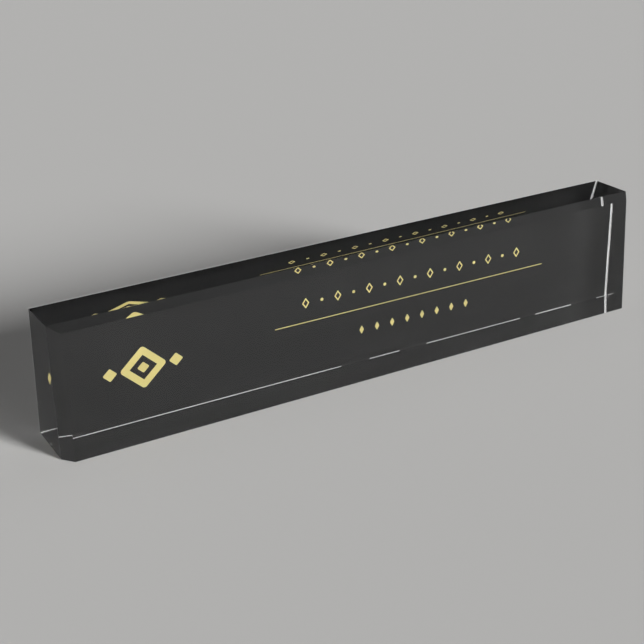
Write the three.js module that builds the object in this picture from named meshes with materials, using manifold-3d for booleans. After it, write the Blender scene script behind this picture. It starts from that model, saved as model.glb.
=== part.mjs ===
// A free-standing desk name plate: a clear acrylic block with bevelled front edges, whose back leans
// forward, and a black and gold print that is bonded to that back and read through the block.
// Millimetres, +Z up, the front faces -Y. The origin is the centre of the base.
import * as THREE from 'three';
import { mergeVertices } from 'three/addons/utils/BufferGeometryUtils.js';
import Module from 'manifold-3d';

// The acrylic block
const plateLength = 253;
const plateHeight = 50.8;
const blockDepthAtBase = 27.9;
const blockDepthAtTop = 22.9;
const endBevelAcrossFront = 3.6;
const endBevelAlongEnd = 4.7;
const topBevelAlongTop = 4.8;
const topBevelDownFront = 2.0;

// The print's layers, each a thickness. A thin clearance keeps every layer off the next.
const layerClearance = 0.05;
const bondThickness = 0.15;
const foilThickness = 0.05;
const inkThickness = 0.05;
const sheetThickness = 0.2;

// The black ink stops short of the white sheet's right and lower edges, so that a white sliver shows
// there. It bleeds over the lower sliver in a few places.
const rightSliver = 0.6;
const lowerSliver = 0.17;
const bleedsFromRightEnd = [[120, 133], [93, 106], [38, 46], [5, 19]];

// The emblem at the left: a lozenge frame round a small lozenge, with one more on each side
const emblemFromLeftEnd = 21.9;
const emblemBelowMiddle = 4.0;
const frameWidth = 17.4;
const frameHeight = 16.6;
const frameStroke = 2.7;
const heartWidth = 4.4;
const heartHeight = 4.2;
const wingWidth = 5.2;
const wingHeight = 5.0;
const wingGap = 1.6;
const emblemCornerRadius = 0.5;

// The gold rule, and the rows of marks above and below it
const ruleFromEmblem = 38.3;
const ruleFromRightEnd = 36.1;
const ruleBelowMiddle = 2.3;
const ruleStroke = 0.32;
const upperRowAboveRule = 8.1;
const upperRowInset = 13.4;
const upperRowCount = 15;
const upperMarkWidth = 3.0;
const upperMarkHeight = 4.2;
const upperMarkStroke = 0.5;
const dotDiameter = 1.3;
const lowerRowBelowRule = 9.3;
const lowerRowCount = 8;
const lowerMarkWidth = 2.0;
const lowerMarkHeight = 3.4;
const markCornerRadius = 0.15;

// Smoothness of the curved outlines
const cornerSegments = 3;
const dotSides = 24;

// Worked out from the sizes above
const lean = Math.atan2(blockDepthAtBase - blockDepthAtTop, plateHeight);
const slopeHeight = plateHeight / Math.cos(lean);
const bondFront = layerClearance;
const foilFront = bondFront + bondThickness + layerClearance;
const inkFront = foilFront + foilThickness + layerClearance;
const sheetFront = inkFront + inkThickness + layerClearance;
const printDepth = sheetFront + sheetThickness;
const printReach = printDepth * Math.cos(lean) + sheetFront * Math.tan(lean) * Math.sin(lean);
const frontY = -(blockDepthAtBase + printReach) / 2;
const backY = frontY + blockDepthAtBase;
const emblemWidth = frameWidth + 2 * (wingGap + wingWidth);
const emblemX = -plateLength / 2 + emblemFromLeftEnd + emblemWidth / 2;
const emblemRise = slopeHeight / 2 - emblemBelowMiddle;
const ruleLeft = emblemX + emblemWidth / 2 + ruleFromEmblem;
const ruleRight = plateLength / 2 - ruleFromRightEnd;
const ruleLength = ruleRight - ruleLeft;
const ruleX = (ruleLeft + ruleRight) / 2;
const ruleRise = slopeHeight / 2 - ruleBelowMiddle;
const markPitch = (ruleLength - 2 * upperRowInset) / (upperRowCount - 1);

function material(color, roughness, opacity = 1) {
  return new THREE.MeshStandardMaterial({ color, roughness, opacity, transparent: opacity < 1 });
}

const clearAcrylic = material(0xf3f6f6, 0.05, 0.35);
const clearBond = material(0xf6f6f2, 0.2, 0.35);
const blackInk = material(0x3b3b3b, 0.6);
const goldFoil = new THREE.MeshStandardMaterial({ color: 0xe2d08c, roughness: 0.45, metalness: 0.3 });
const whiteSheet = material(0xececea, 0.7);

function part(name, geometry, finish) {
  const mesh = new THREE.Mesh(geometry, finish);
  mesh.name = name;
  return mesh;
}

// Solids for the boolean cut that mitres the bevels

const wasm = await Module();
wasm.setup();

function toSolid(geometry) {
  const bare = geometry.clone();
  bare.deleteAttribute('normal');
  bare.deleteAttribute('uv');
  const merged = mergeVertices(bare);
  return new wasm.Manifold(new wasm.Mesh({
    numProp: 3,
    vertProperties: new Float32Array(merged.attributes.position.array),
    triVerts: new Uint32Array(merged.index.array),
  }));
}

function toGeometry(solid) {
  const mesh = solid.getMesh();
  const geometry = new THREE.BufferGeometry();
  geometry.setAttribute('position', new THREE.BufferAttribute(mesh.vertProperties, 3));
  geometry.setIndex(new THREE.BufferAttribute(mesh.triVerts, 1));
  return geometry;
}

function outline(points) {
  return new THREE.Shape(points.map(([x, y]) => new THREE.Vector2(x, y)));
}

function slab(shape, thickness) {
  return new THREE.ExtrudeGeometry(shape, {
    depth: thickness,
    bevelEnabled: false,
    curveSegments: cornerSegments,
  });
}

// The block is the space shared by its side view, drawn along X, and its plan, drawn up Z.
function acrylicBlock() {
  const halfLength = plateLength / 2;
  const sideView = outline([
    [frontY, 0],
    [backY, 0],
    [frontY + blockDepthAtTop, plateHeight],
    [frontY + topBevelAlongTop, plateHeight],
    [frontY, plateHeight - topBevelDownFront],
  ]);
  const plan = outline([
    [-halfLength + endBevelAcrossFront, frontY],
    [halfLength - endBevelAcrossFront, frontY],
    [halfLength, frontY + endBevelAlongEnd],
    [halfLength, backY],
    [-halfLength, backY],
    [-halfLength, frontY + endBevelAlongEnd],
  ]);
  const alongX = slab(sideView, plateLength).translate(0, 0, -halfLength);
  alongX.rotateX(Math.PI / 2).rotateZ(Math.PI / 2);
  return toGeometry(toSolid(alongX).intersect(toSolid(slab(plan, plateHeight))));
}

// Flat outlines of the print, drawn in the plane of the leaning back

function rectangle(left, bottom, width, height) {
  return outline([
    [left, bottom],
    [left + width, bottom],
    [left + width, bottom + height],
    [left, bottom + height],
  ]);
}

// A lozenge with round corners: a smaller lozenge, grown all round by the corner radius
function lozenge(width, height, cornerRadius) {
  const halfWidth = width / 2 - cornerRadius;
  const halfHeight = height / 2 - cornerRadius;
  const edgeNormal = Math.atan2(halfWidth, halfHeight);
  const shape = new THREE.Shape();
  shape.absarc(halfWidth, 0, cornerRadius, -edgeNormal, edgeNormal);
  shape.absarc(0, halfHeight, cornerRadius, edgeNormal, Math.PI - edgeNormal);
  shape.absarc(-halfWidth, 0, cornerRadius, Math.PI - edgeNormal, Math.PI + edgeNormal);
  shape.absarc(0, -halfHeight, cornerRadius, Math.PI + edgeNormal, 2 * Math.PI - edgeNormal);
  shape.closePath();
  return shape;
}

// The line of a lozenge drawn with a round pen, the same width all round
function lozengeLine(width, height, stroke) {
  const shape = lozenge(width, height, stroke / 2);
  const halfWidth = (width - stroke) / 2;
  const halfHeight = (height - stroke) / 2;
  const edgeDistance = halfWidth * halfHeight / Math.hypot(halfWidth, halfHeight);
  const shrink = (edgeDistance - stroke / 2) / edgeDistance;
  shape.holes.push(outline([
    [halfWidth * shrink, 0],
    [0, -halfHeight * shrink],
    [-halfWidth * shrink, 0],
    [0, halfHeight * shrink],
  ]));
  return shape;
}

function dot() {
  const sides = Array.from({ length: dotSides }, (_, side) => 2 * Math.PI * side / dotSides);
  return outline(sides.map((angle) => [dotDiameter / 2 * Math.cos(angle), dotDiameter / 2 * Math.sin(angle)]));
}

// Every layer is trimmed level with the block's base and top, so the deeper it lies behind the leaning
// back, the lower down the slope its edges are.
function layerBottom(front) {
  return -front * Math.tan(lean);
}

function layerTop(front, thickness) {
  return slopeHeight - (front + thickness) * Math.tan(lean);
}

function wholeField(front, thickness) {
  const bottom = layerBottom(front);
  return rectangle(-plateLength / 2, bottom, plateLength, layerTop(front, thickness) - bottom);
}

// The ink's field keeps the slivers' widths off the right and lower edges, but for the bleeds.
function inkField() {
  const left = -plateLength / 2;
  const right = plateLength / 2 - rightSliver;
  const edge = layerBottom(inkFront);
  const bottom = edge + lowerSliver;
  const top = layerTop(inkFront, inkThickness);
  const bleeds = bleedsFromRightEnd.map(([near, far]) => [plateLength / 2 - far, plateLength / 2 - near]);
  const steps = bleeds
    .filter(([start, end]) => start > left && end < right)
    .flatMap(([start, end]) => [[start, bottom], [start, edge], [end, edge], [end, bottom]]);
  return outline([[left, bottom], ...steps, [right, bottom], [right, top], [left, top]]);
}

// Layers and marks in the frame of the leaning back: X to the right, Y up the slope and Z towards
// the reader, so a layer behind the block has a negative Z.

function layer(name, shape, finish, front, thickness) {
  const sheet = part(name, slab(shape, thickness), finish);
  sheet.position.z = -(front + thickness);
  return sheet;
}

function foilMark(name, shape, x, rise) {
  const mark = layer(name, shape, goldFoil, foilFront, foilThickness);
  mark.position.x = x;
  mark.position.y = rise;
  return mark;
}

function printLayers() {
  const bond = wholeField(bondFront, bondThickness);
  const sheet = wholeField(sheetFront, sheetThickness);
  return [
    layer('clear_bond_layer', bond, clearBond, bondFront, bondThickness),
    layer('black_print', inkField(), blackInk, inkFront, inkThickness),
    layer('white_backing_sheet', sheet, whiteSheet, sheetFront, sheetThickness),
  ];
}

function emblem() {
  const wing = lozenge(wingWidth, wingHeight, emblemCornerRadius);
  const wingShift = frameWidth / 2 + wingGap + wingWidth / 2;
  const heart = lozenge(heartWidth, heartHeight, emblemCornerRadius);
  return [
    foilMark('emblem_frame', lozengeLine(frameWidth, frameHeight, frameStroke), emblemX, emblemRise),
    foilMark('emblem_heart', heart, emblemX, emblemRise),
    foilMark('emblem_left_wing', wing, emblemX - wingShift, emblemRise),
    foilMark('emblem_right_wing', wing, emblemX + wingShift, emblemRise),
  ];
}

function goldRule() {
  const line = rectangle(-ruleLength / 2, -ruleStroke / 2, ruleLength, ruleStroke);
  return foilMark('gold_rule', line, ruleX, ruleRise);
}

function markRow(rowName, count, rise, shapeOf) {
  return Array.from({ length: count }, (_, index) => {
    const number = String(index + 1).padStart(2, '0');
    const x = ruleX + (index - (count - 1) / 2) * markPitch;
    return foilMark(`${rowName}_${number}`, shapeOf(index), x, rise);
  });
}

function upperRow() {
  const open = lozengeLine(upperMarkWidth, upperMarkHeight, upperMarkStroke);
  const shapeOf = (index) => (index % 2 === 0 ? open : dot());
  return markRow('upper_row_mark', upperRowCount, ruleRise + upperRowAboveRule, shapeOf);
}

function lowerRow() {
  const solid = lozenge(lowerMarkWidth, lowerMarkHeight, markCornerRadius);
  return markRow('lower_row_mark', lowerRowCount, ruleRise - lowerRowBelowRule, () => solid);
}

// The whole plate

const leaningBack = new THREE.Group();
leaningBack.position.y = backY;
leaningBack.rotation.x = Math.PI / 2 + lean;
leaningBack.add(...printLayers(), ...emblem(), goldRule(), ...upperRow(), ...lowerRow());

const namePlate = new THREE.Group();
namePlate.add(part('acrylic_block', acrylicBlock(), clearAcrylic), leaningBack);

export default namePlate;
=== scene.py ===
# %% [markdown]
# # A desk name plate in clear acrylic
# The plate is one thick block of clear acrylic that stands on a desk by itself. Its front has polished
# bevels, its back leans forward, and a black and gold print is bonded to that back, so that the reader
# sees the print through the whole block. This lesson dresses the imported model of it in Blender: the
# block as real glass-like plastic, the print as ink, foil and a white sheet, and a plain pale studio.

import math

import bmesh
import bpy
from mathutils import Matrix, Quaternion, Vector


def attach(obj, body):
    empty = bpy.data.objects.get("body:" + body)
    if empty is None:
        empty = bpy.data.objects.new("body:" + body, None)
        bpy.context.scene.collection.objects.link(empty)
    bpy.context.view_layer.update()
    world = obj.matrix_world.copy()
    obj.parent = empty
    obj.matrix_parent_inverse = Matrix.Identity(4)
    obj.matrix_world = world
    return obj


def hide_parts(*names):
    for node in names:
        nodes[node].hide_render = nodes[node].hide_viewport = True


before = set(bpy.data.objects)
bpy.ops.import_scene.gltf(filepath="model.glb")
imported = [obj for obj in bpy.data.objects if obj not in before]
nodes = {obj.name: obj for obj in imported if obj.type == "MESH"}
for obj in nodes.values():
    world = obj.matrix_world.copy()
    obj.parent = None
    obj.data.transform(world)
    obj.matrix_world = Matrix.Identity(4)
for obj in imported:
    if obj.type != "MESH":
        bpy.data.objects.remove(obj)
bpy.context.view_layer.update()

# Blender works in metres, and the plate's sizes are easier to read in millimetres.
MM = 0.001
print("pieces in the packed model:", len(nodes))

# %% [markdown]
# ## Measures from the model
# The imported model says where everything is, so the sizes here are read from it and not typed again. What
# the looks need most is how far behind the block's back face each layer of the print lies, measured
# square to that leaning face.

# %% Find the block's back face and the layers behind it
block_mesh = nodes["acrylic_block"].data
back_face = max(block_mesh.polygons, key=lambda face: face.normal.y * face.area)
back_normal = back_face.normal.copy()


def depth_range(name):
    depths = [back_normal.dot(vertex.co) for vertex in nodes[name].data.vertices]
    return min(depths), max(depths)


block_back = depth_range("acrylic_block")[1]
ink_front = depth_range("black_print")[0] - block_back
sheet_front = depth_range("white_backing_sheet")[0] - block_back
print("ink lies behind the back by mm:", round(ink_front / MM, 3))
print("sheet lies behind the back by mm:", round(sheet_front / MM, 3))

# %% [markdown]
# ## The camera
# A photograph taken from close by shows strong perspective, so the lens and the distance matter as much
# as the angle. Both were worked out from the plate's outline in the photograph and from the lines seen
# through it. The camera stands to the left of the plate and looks down on it, turned a little about its
# own axis, and a small downward shift of the lens leaves more room in front of the plate than behind it.
# The sensor and the lens are in millimetres, and the shift is a share of the sensor's width.

# %% Place the camera
CAMERA_PLACE = Vector((-242.2, -424.8, 228.2)) * MM
LOOK_AZIMUTH = math.radians(28.20)
LOOK_DOWN = math.radians(20.55)
ROLL = math.radians(2.40)
SENSOR_WIDTH = 36.0
LENS = 75.58
LENS_SHIFT = -0.0963
NEAREST_SEEN = 10 * MM


def make_camera():
    data = bpy.data.cameras.new("camera")
    data.sensor_width = SENSOR_WIDTH
    data.lens = LENS
    data.shift_y = LENS_SHIFT
    data.clip_start = NEAREST_SEEN
    camera = bpy.data.objects.new("camera", data)
    bpy.context.collection.objects.link(camera)
    level = math.cos(LOOK_DOWN)
    look = Vector((math.sin(LOOK_AZIMUTH) * level, math.cos(LOOK_AZIMUTH) * level, -math.sin(LOOK_DOWN)))
    camera.rotation_mode = "QUATERNION"
    camera.rotation_quaternion = Quaternion(look, ROLL) @ look.to_track_quat("-Z", "Y")
    camera.location = CAMERA_PLACE
    return camera


camera = make_camera()
bpy.context.scene.camera = camera
print("camera distance to the plate in mm:", round(camera.location.length / MM))

# %% [markdown]
# ## Materials by hand
# Each finish below is a small node tree round one Principled shader. A few helpers keep the trees short:
# they start a material, add a node, lay out a noise, bring its value into a wanted range, and turn it
# into a colour or a bump. Patterns are laid out in object coordinates, so a noise's scale counts its
# patches per metre of the plate. Nearly all of a noise's values lie between 0.3 and 0.7.

# %% Helpers for node materials
NOISE_LOW = 0.3
NOISE_HIGH = 0.7


def new_material(name):
    material = bpy.data.materials.new(name)
    material.use_nodes = True
    shader = material.node_tree.nodes["Principled BSDF"]
    return material, material.node_tree, shader


def add_node(tree, kind, **settings):
    node = tree.nodes.new(kind)
    for key, value in settings.items():
        setattr(node, key, value)
    return node


def plate_coordinates(tree, scale=(1, 1, 1)):
    coordinates = add_node(tree, "ShaderNodeTexCoord")
    mapping = add_node(tree, "ShaderNodeMapping")
    mapping.inputs["Scale"].default_value = scale
    tree.links.new(coordinates.outputs["Object"], mapping.inputs["Vector"])
    return mapping.outputs["Vector"]


def noise(tree, vector, scale, detail):
    node = add_node(tree, "ShaderNodeTexNoise")
    node.inputs["Scale"].default_value = scale
    node.inputs["Detail"].default_value = detail
    tree.links.new(vector, node.inputs["Vector"])
    return node.outputs["Fac"]


def remap(tree, value, low, high, from_low=NOISE_LOW, from_high=NOISE_HIGH, curve="LINEAR"):
    node = add_node(tree, "ShaderNodeMapRange", interpolation_type=curve)
    node.inputs["From Min"].default_value = from_low
    node.inputs["From Max"].default_value = from_high
    node.inputs["To Min"].default_value = low
    node.inputs["To Max"].default_value = high
    tree.links.new(value, node.inputs["Value"])
    return node.outputs["Result"]


def mottle(tree, shader, pattern, first, second):
    node = add_node(tree, "ShaderNodeMix", data_type="RGBA")
    node.inputs["A"].default_value = (*first, 1)
    node.inputs["B"].default_value = (*second, 1)
    tree.links.new(remap(tree, pattern, 0, 1), node.inputs["Factor"])
    tree.links.new(node.outputs["Result"], shader.inputs["Base Color"])


def bump(tree, shader, height, distance):
    node = add_node(tree, "ShaderNodeBump")
    node.inputs["Strength"].default_value = 1.0
    node.inputs["Distance"].default_value = distance
    tree.links.new(height, node.inputs["Height"])
    tree.links.new(node.outputs["Normal"], shader.inputs["Normal"])


print("helpers ready")

# %% [markdown]
# ## Clear acrylic
# Cast acrylic bends light a little less than window glass. Almost everything that makes the plate look as
# it does comes from that one number, the index of refraction: the print seems to lie nearer than it is,
# and the ends and the underside turn into mirrors that show the print again. The faces are polished, so
# the only texture is the faint haze that wiping along the plate leaves, as a small roughness.

# %% Make the acrylic
ACRYLIC_INDEX = 1.49
ACRYLIC_TINT = (0.985, 0.992, 0.99)
HAZE_SQUEEZE = (1.0, 1.0, 2.5)
HAZE_SCALE = 35
HAZE_ROUGHNESS = 0.012


def make_acrylic():
    material, tree, shader = new_material("clear_acrylic")
    shader.inputs["Base Color"].default_value = (*ACRYLIC_TINT, 1)
    shader.inputs["IOR"].default_value = ACRYLIC_INDEX
    shader.inputs["Transmission Weight"].default_value = 1.0
    haze = noise(tree, plate_coordinates(tree, HAZE_SQUEEZE), HAZE_SCALE, detail=4.0)
    tree.links.new(remap(tree, haze, 0, HAZE_ROUGHNESS), shader.inputs["Roughness"])
    return material


clear_acrylic = make_acrylic()
print("index of refraction:", ACRYLIC_INDEX)

# %% [markdown]
# ## The clear block
# The block and the bond behind it are both clear and have the same index, so light passes from one to the
# other as if they were one body. They are therefore one mesh here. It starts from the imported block, whose
# flat faces are joined up again from triangles. Its back is carried back past the ink and a hundredth of
# a millimetre into the white sheet, so that no air lies between. Real edges are never knife sharp, so
# they get a small polished round, which bends the view along them. The edges round the back stay sharp,
# because the print was trimmed there together with the block. So does the edge between the front and the
# top bevel, where even so small a round would mirror the lamp as a broken bright line.

# %% Build the block
SEAT = 0.01 * MM
EDGE_ROUND = 0.12 * MM
ROUND_STEPS = 2
ARC_PROFILE = 0.5
FLAT_ANGLE = math.radians(0.5)
MERGE = 0.001 * MM


def to_object(shape, name, material):
    mesh = bpy.data.meshes.new(name)
    shape.to_mesh(mesh)
    shape.free()
    mesh.materials.append(material)
    made = bpy.data.objects.new(name, mesh)
    bpy.context.collection.objects.link(made)
    return made


def build_clear_block():
    shape = bmesh.new()
    shape.from_mesh(block_mesh)
    bmesh.ops.remove_doubles(shape, verts=shape.verts, dist=MERGE)
    bmesh.ops.dissolve_limit(shape, angle_limit=FLAT_ANGLE, verts=shape.verts, edges=shape.edges)
    back = max(shape.faces, key=lambda face: face.normal.y * face.calc_area())
    front = min(shape.faces, key=lambda face: face.normal.y * face.calc_area())
    top_bevel = min(shape.faces, key=lambda face: face.normal.y * face.normal.z * face.calc_area())
    reach = (sheet_front + SEAT) / back_normal.y
    bmesh.ops.translate(shape, verts=back.verts, vec=Vector((0, reach, 0)))
    rounded = []
    for edge in shape.edges:
        sides = set(edge.link_faces)
        if back not in sides and sides != {front, top_bevel}:
            rounded.append(edge)
    bmesh.ops.bevel(
        shape,
        geom=rounded,
        offset=EDGE_ROUND,
        offset_type="OFFSET",
        segments=ROUND_STEPS,
        profile=ARC_PROFILE,
        affect="EDGES",
        clamp_overlap=True,
    )
    bmesh.ops.recalc_face_normals(shape, faces=shape.faces)
    return to_object(shape, "clear_block", clear_acrylic)


clear_block = build_clear_block()
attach(clear_block, "root")
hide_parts("acrylic_block", "clear_bond_layer")
print("faces of the block:", len(clear_block.data.polygons))

# %% [markdown]
# ## Black ink
# The field is printed, not painted: an even charcoal that is laid down a touch heavier in some places than
# in others, with the fine grain of small ink dots. It touches the acrylic, so it has no gloss of its own.
# The acrylic's polished front lays a pale reflection of the floor over it, so the ink itself is darker
# than it looks.

# %% Make the ink
INK = (0.0165, 0.0165, 0.0165)
INK_LIGHT = (0.0195, 0.0195, 0.0195)
INK_PATCH_SCALE = 28
INK_DOT_SCALE = 6000
INK_ROUGHNESS = (0.5, 0.65)


def make_ink():
    material, tree, shader = new_material("black_ink")
    where = plate_coordinates(tree)
    mottle(tree, shader, noise(tree, where, INK_PATCH_SCALE, detail=2.0), INK, INK_LIGHT)
    dots = noise(tree, where, INK_DOT_SCALE, detail=1.0)
    tree.links.new(remap(tree, dots, *INK_ROUGHNESS), shader.inputs["Roughness"])
    shader.inputs["Specular IOR Level"].default_value = 0.0
    return material


def dress(names, material):
    for name in names:
        slots = nodes[name].data.materials
        slots.clear()
        slots.append(material)


dress(["black_print"], make_ink())
print("ink:", INK)

# %% [markdown]
# ## Gold foil
# The marks are pale matt gold. A mirror-like gold would turn black or white with the view, but the real
# marks keep one colour all over, so the foil is a plain colour with a fine grain and no gloss.

# %% Make the gold
GOLD = (0.77, 0.665, 0.265)
GOLD_DEEP = (0.735, 0.63, 0.24)
FOIL_GRAIN_SCALE = 2500
FOIL_ROUGHNESS = 0.5


def make_gold():
    material, tree, shader = new_material("gold_foil")
    grain = noise(tree, plate_coordinates(tree), FOIL_GRAIN_SCALE, detail=2.0)
    mottle(tree, shader, grain, GOLD_DEEP, GOLD)
    shader.inputs["Roughness"].default_value = FOIL_ROUGHNESS
    shader.inputs["Specular IOR Level"].default_value = 0.0
    return material


gold_names = [name for name in nodes if name.startswith(("emblem", "gold", "upper", "lower"))]
dress(gold_names, make_gold())
print("gold marks:", len(gold_names))

# %% [markdown]
# ## The white sheet
# The ink lies on a white sheet, which closes the plate's back. From the front it shows only as a hair of
# white along the lower and right edges, where the ink stops short. From behind it is the whole back, with
# faint clouds and fine fibres.

# %% Make the sheet
SHEET_WHITE = (0.88, 0.88, 0.87)
SHEET_SHADE = (0.85, 0.85, 0.84)
SHEET_CLOUD_SCALE = 300
SHEET_FIBRE_SCALE = 2500
SHEET_FIBRE_HEIGHT = 0.02 * MM
SHEET_ROUGHNESS = 0.6


def make_sheet():
    material, tree, shader = new_material("white_sheet")
    where = plate_coordinates(tree)
    mottle(tree, shader, noise(tree, where, SHEET_CLOUD_SCALE, detail=4.0), SHEET_SHADE, SHEET_WHITE)
    shader.inputs["Roughness"].default_value = SHEET_ROUGHNESS
    bump(tree, shader, noise(tree, where, SHEET_FIBRE_SCALE, detail=3.0), SHEET_FIBRE_HEIGHT)
    return material


dress(["white_backing_sheet"], make_sheet())
print("white sheet:", SHEET_WHITE)

# %% [markdown]
# ## The floor
# A plain pale floor carries the plate. It lies a hair lower than the plate's underside, so that the two
# never share one plane. Clear plastic over black shows whatever it mirrors, so the floor, the room and the
# lamp below are all set by what the plate mirrors.

# %% Lay the floor
FLOOR_COLOUR = (0.56, 0.555, 0.545)
FLOOR_ROUGHNESS = 0.9
FLOOR_HALF = 8.0
FLOOR_GAP = 0.2 * MM


def lay_floor():
    material, _, shader = new_material("floor")
    shader.inputs["Base Color"].default_value = (*FLOOR_COLOUR, 1)
    shader.inputs["Roughness"].default_value = FLOOR_ROUGHNESS
    shape = bmesh.new()
    bmesh.ops.create_grid(shape, x_segments=1, y_segments=1, size=FLOOR_HALF)
    floor = to_object(shape, "floor", material)
    floor.location.z = -FLOOR_GAP


lay_floor()
print("floor colour:", FLOOR_COLOUR)

# %% [markdown]
# ## The room
# The room fills in from all round, and is brightest near the horizon. Seen from here, the plate's top
# mirrors the room some twenty degrees above the horizon: a photographer stands black cards there, and here
# a dark belt in the room's light does that. The top bevel mirrors the room higher up behind, where a faint
# soft glow sets the bevel off from the top. Both are part of the room's light itself, so that nothing more
# stands round the plate.

# %% Light the room
# Each row is a height, as the sine of the angle above the horizon, and the room's brightness there.
ROOM_LIGHT = [(0.0, 0.85), (0.24, 0.75), (0.285, 0.012), (0.41, 0.012), (0.56, 0.11), (1.0, 0.13)]
GLOW_TOWARDS = Vector((0.60, 0.29, 0.745)).normalized()
GLOW_CORE = math.radians(4)
GLOW_RIM = math.radians(26)
GLOW_LIGHT = 0.24


def room_glow(tree, direction):
    aim = add_node(tree, "ShaderNodeVectorMath", operation="DOT_PRODUCT")
    aim.inputs[1].default_value = GLOW_TOWARDS
    tree.links.new(direction, aim.inputs[0])
    rim = math.cos(GLOW_RIM)
    core = math.cos(GLOW_CORE)
    return remap(tree, aim.outputs["Value"], 0, GLOW_LIGHT, rim, core, "SMOOTHSTEP")


def light_room():
    world = bpy.data.worlds.new("room")
    bpy.context.scene.world = world
    world.use_nodes = True
    tree = world.node_tree
    direction = add_node(tree, "ShaderNodeTexCoord").outputs["Generated"]
    parts = add_node(tree, "ShaderNodeSeparateXYZ")
    ramp = add_node(tree, "ShaderNodeValToRGB")
    stops = ramp.color_ramp.elements
    # A new ramp has two stops. More are added here, and the next loop gives each its place.
    while len(stops) < len(ROOM_LIGHT):
        stops.new(0.5)
    for stop, (height, light) in zip(stops, ROOM_LIGHT):
        stop.position = height
        stop.color = (light, light, light, 1)
    tree.links.new(direction, parts.inputs["Vector"])
    tree.links.new(parts.outputs["Z"], ramp.inputs["Fac"])
    both = add_node(tree, "ShaderNodeMath", operation="ADD")
    tree.links.new(ramp.outputs["Color"], both.inputs[0])
    tree.links.new(room_glow(tree, direction), both.inputs[1])
    tree.links.new(both.outputs["Value"], tree.nodes["Background"].inputs["Color"])


light_room()
print("glow direction:", [round(part, 2) for part in GLOW_TOWARDS])

# %% [markdown]
# ## The lamp
# One large soft lamp in front, to the right and low, lights the print through the block. It is a sun with
# a very wide disc: it is as soft as a big soft box, and lights the whole floor evenly, near and far. The
# plate's left end mirrors the floor behind it, so the lamp stands where the plate's own shadow falls there.

# %% Add the lamp
LAMP_AZIMUTH = math.radians(25)
LAMP_HEIGHT = math.radians(17)
LAMP_SPREAD = math.radians(16)
LAMP_STRENGTH = 6.5


def add_lamp():
    data = bpy.data.lights.new("key_lamp", "SUN")
    data.angle = LAMP_SPREAD
    data.energy = LAMP_STRENGTH
    lamp = bpy.data.objects.new("key_lamp", data)
    level = math.cos(LAMP_HEIGHT)
    up = math.sin(LAMP_HEIGHT)
    towards = Vector((math.sin(LAMP_AZIMUTH) * level, -math.cos(LAMP_AZIMUTH) * level, up))
    lamp.location = towards
    lamp.rotation_mode = "QUATERNION"
    lamp.rotation_quaternion = (-towards).to_track_quat("-Z", "Y")
    bpy.context.collection.objects.link(lamp)
    return lamp


key_lamp = add_lamp()
bpy.context.scene.view_settings.view_transform = "Standard"
print("lamp direction:", [round(part, 2) for part in key_lamp.location])
